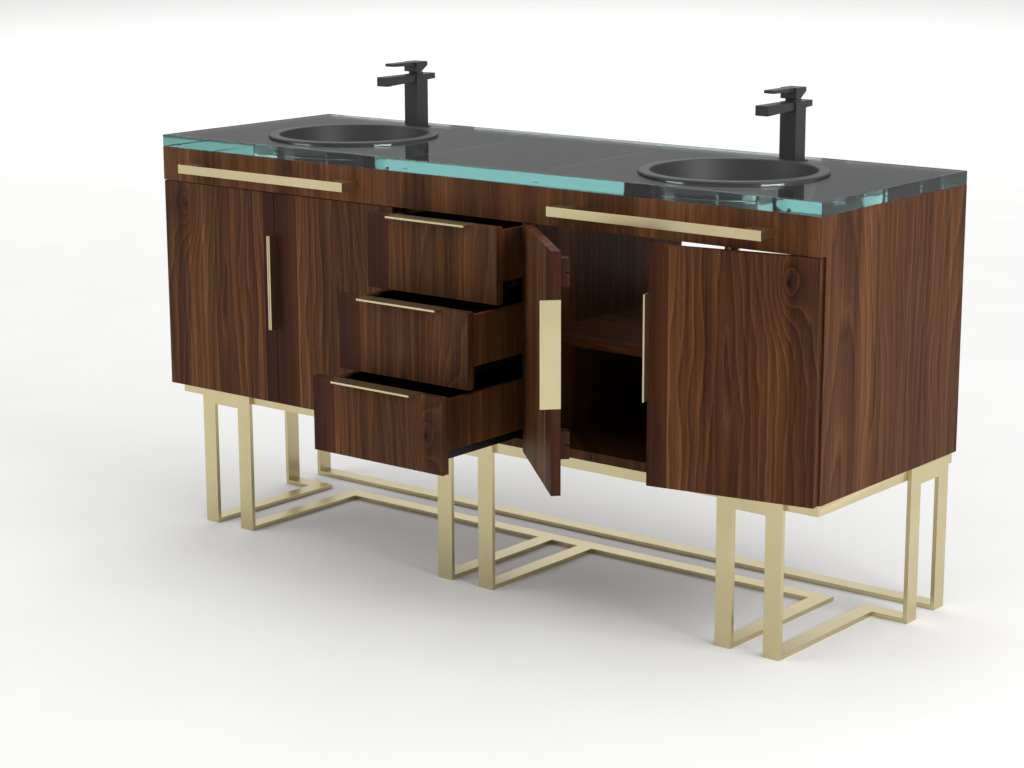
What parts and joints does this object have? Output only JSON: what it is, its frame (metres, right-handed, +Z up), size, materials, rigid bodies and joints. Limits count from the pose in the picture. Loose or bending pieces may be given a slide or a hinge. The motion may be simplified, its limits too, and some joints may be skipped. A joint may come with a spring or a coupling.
{
  "type": "bathroom vanity cabinet",
  "caption": "Wide walnut vanity with a thick glass top, round black basins, square faucets, doors, stacked drawers, brass towel bars and a flat-bar brass base.",
  "frame": {"origin": "on the floor at mid-width, under the middle of the long inner floor runner", "axes": "+X along the width, +Y towards the wall, +Z up; the doors face -Y"},
  "size_m": [1.8, 0.849, 1.087],
  "materials": {
    "walnut": "matt oiled walnut veneer, grain upright",
    "satin_brass": "satin, pale",
    "top_glass": "thick float glass, polished edges",
    "black_composite": "matt black mineral composite",
    "black_metal": "matt black coating",
    "plumbing_brass": "machined",
    "hardware_steel": "nickel plated",
    "clear_silicone": "soft, clear"
  },
  "bodies": {
    "cabinet": {"apron": "walnut", "back_panel": "walnut", "back_rail": "walnut", "basin_left": "black_composite", "basin_right": "black_composite", "bottom_panel": "walnut", "drains": "plumbing_brass", "drawer_runners": "hardware_steel", "faucet_left_body": "black_metal", "faucet_right_body": "black_metal", "floor_runner_rear": "satin_brass", "floor_runners_corner": "satin_brass", "floor_runners_inner": "satin_brass", "front_rails": "walnut", "glass_top": "top_glass", "hinge_arms": "hardware_steel", "legs_front": "satin_brass", "legs_side": "satin_brass", "partition_left": "walnut", "partition_right": "walnut", "plumbing_nuts": "plumbing_brass", "ring_frame": "satin_brass", "screws": "hardware_steel", "seals": "clear_silicone", "shelf_left": "walnut", "shelf_pins": "hardware_steel", "shelf_right": "walnut", "side_panel_left": "walnut", "side_panel_right": "walnut", "towel_bars": "satin_brass"},
    "door_left_outer": {"door_left_outer_hinge_cups": "hardware_steel", "door_left_outer_panel": "walnut", "door_left_outer_pull": "satin_brass"},
    "door_left_inner": {"door_left_inner_hinge_cups": "hardware_steel", "door_left_inner_panel": "walnut", "door_left_inner_pull": "satin_brass"},
    "door_right_inner": {"door_right_inner_hinge_cups": "hardware_steel", "door_right_inner_panel": "walnut", "door_right_inner_pull": "satin_brass"},
    "door_right_outer": {"door_right_outer_hinge_cups": "hardware_steel", "door_right_outer_panel": "walnut", "door_right_outer_pull": "satin_brass"},
    "drawer_top": {"drawer_top_box": "walnut", "drawer_top_front": "walnut", "drawer_top_pull": "satin_brass", "drawer_top_slides": "hardware_steel"},
    "drawer_middle": {"drawer_middle_box": "walnut", "drawer_middle_front": "walnut", "drawer_middle_pull": "satin_brass", "drawer_middle_slides": "hardware_steel"},
    "drawer_bottom": {"drawer_bottom_box": "walnut", "drawer_bottom_front": "walnut", "drawer_bottom_pull": "satin_brass", "drawer_bottom_slides": "hardware_steel"},
    "handle_turn_left": {"faucet_left_neck": "black_metal"},
    "handle_left": {"faucet_left_lever": "black_metal"},
    "stopper_left": {"stopper_left": "black_metal"},
    "handle_turn_right": {"faucet_right_neck": "black_metal"},
    "handle_right": {"faucet_right_lever": "black_metal"},
    "stopper_right": {"stopper_right": "black_metal"}
  },
  "joints": [
    {"name": "door_left_outer_hinge", "type": "hinge", "parent": "cabinet", "child": "door_left_outer", "pos_m": [-0.899, -0.401, 0.58], "axis": [0, 0, -1], "range_deg": [0, 105]},
    {"name": "door_left_inner_hinge", "type": "hinge", "parent": "cabinet", "child": "door_left_inner", "pos_m": [-0.18075, -0.401, 0.58], "axis": [0, 0, 1], "range_deg": [0, 85]},
    {"name": "door_right_inner_hinge", "type": "hinge", "parent": "cabinet", "child": "door_right_inner", "pos_m": [0.18075, -0.401, 0.58], "axis": [0, 0, -1], "range_deg": [-42.5, 42.5]},
    {"name": "door_right_outer_hinge", "type": "hinge", "parent": "cabinet", "child": "door_right_outer", "pos_m": [0.899, -0.401, 0.58], "axis": [0, 0, 1], "range_deg": [-10, 95]},
    {"name": "drawer_top_slide", "type": "slide", "parent": "cabinet", "child": "drawer_top", "axis": [0, -1, 0], "range_m": [-0.082, 0.318]},
    {"name": "drawer_middle_slide", "type": "slide", "parent": "cabinet", "child": "drawer_middle", "axis": [0, -1, 0], "range_m": [-0.176, 0.224]},
    {"name": "drawer_bottom_slide", "type": "slide", "parent": "cabinet", "child": "drawer_bottom", "axis": [0, -1, 0], "range_m": [-0.259, 0.141]},
    {"name": "faucet_left_turn", "type": "hinge", "parent": "cabinet", "child": "handle_turn_left", "pos_m": [-0.53, 0.081, 1.057], "axis": [0, 0, 1], "range_deg": [-45, 45]},
    {"name": "faucet_left_lift", "type": "hinge", "parent": "handle_turn_left", "child": "handle_left", "pos_m": [-0.53, 0.081, 1.071], "axis": [-1, 0, 0], "range_deg": [0, 22]},
    {"name": "stopper_left_lift", "type": "slide", "parent": "cabinet", "child": "stopper_left", "axis": [0, 0, 1], "range_m": [0, 0.009]},
    {"name": "faucet_right_turn", "type": "hinge", "parent": "cabinet", "child": "handle_turn_right", "pos_m": [0.53, 0.081, 1.057], "axis": [0, 0, 1], "range_deg": [-45, 45]},
    {"name": "faucet_right_lift", "type": "hinge", "parent": "handle_turn_right", "child": "handle_right", "pos_m": [0.53, 0.081, 1.071], "axis": [-1, 0, 0], "range_deg": [0, 22]},
    {"name": "stopper_right_lift", "type": "slide", "parent": "cabinet", "child": "stopper_right", "axis": [0, 0, 1], "range_m": [0, 0.009]}
  ]
}
